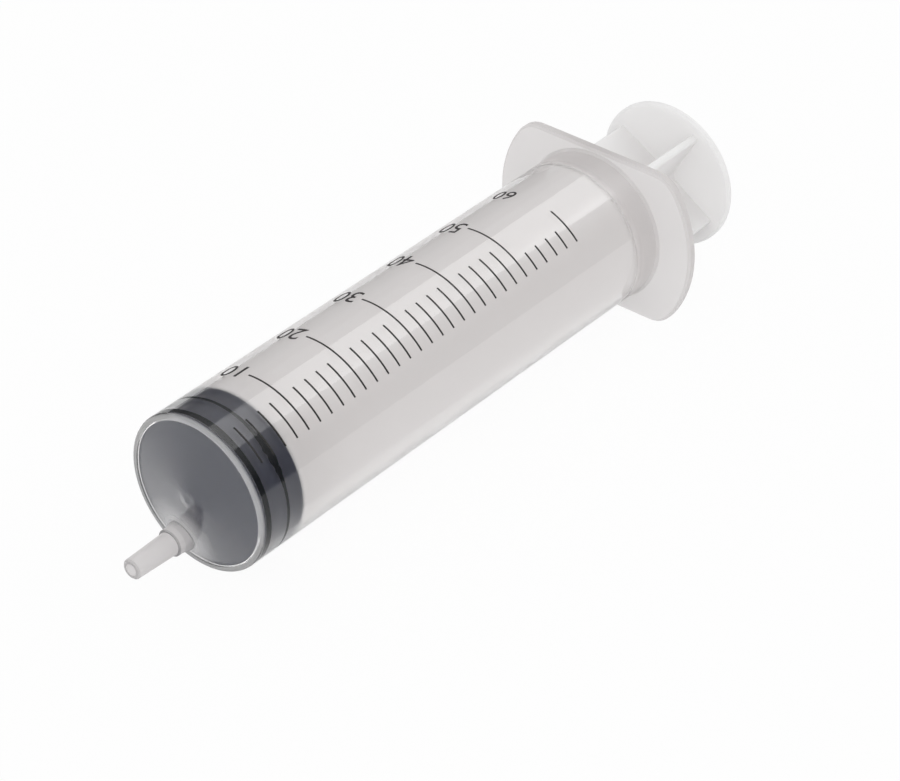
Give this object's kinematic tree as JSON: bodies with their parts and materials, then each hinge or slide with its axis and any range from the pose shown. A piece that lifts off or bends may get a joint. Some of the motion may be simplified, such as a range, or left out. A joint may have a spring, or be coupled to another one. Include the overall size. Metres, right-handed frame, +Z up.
{
  "type": "eccentric luer slip syringe",
  "caption": "Disposable piston syringe with an eccentric luer slip nozzle, a two-winged finger flange, a rubber gasket and a ribbed plunger rod pushed fully home.",
  "frame": {"origin": "on the barrel's axis at the zero mark of the scale, just behind the closed end of the bore", "axes": "+X along the barrel's axis from the nozzle to the thumb disc, +Z up with the flats of the finger flange level, +Y to the far wing of the flange"},
  "size_m": [0.1509, 0.0462, 0.0332],
  "materials": {
    "clear_barrel": "translucent polypropylene, smooth",
    "gasket_rubber": "dark grey moulded rubber, lightly siliconed",
    "rod_plastic": "milky natural polypropylene, satin",
    "scale_ink": "thin printed ink"
  },
  "bodies": {
    "barrel": {"barrel": "clear_barrel"},
    "gasket": {"gasket": "gasket_rubber"},
    "plunger": {"plunger_rod": "rod_plastic"}
  },
  "joints": [
    {"name": "plunger_slide", "type": "slide", "parent": "barrel", "child": "gasket", "axis": [1, 0, 0], "range_m": [0, 0.0952]},
    {"name": "plunger_turn", "type": "hinge", "parent": "gasket", "child": "plunger", "pos_m": [0.0095, 0, 0], "axis": [1, 0, 0], "continuous": true}
  ]
}
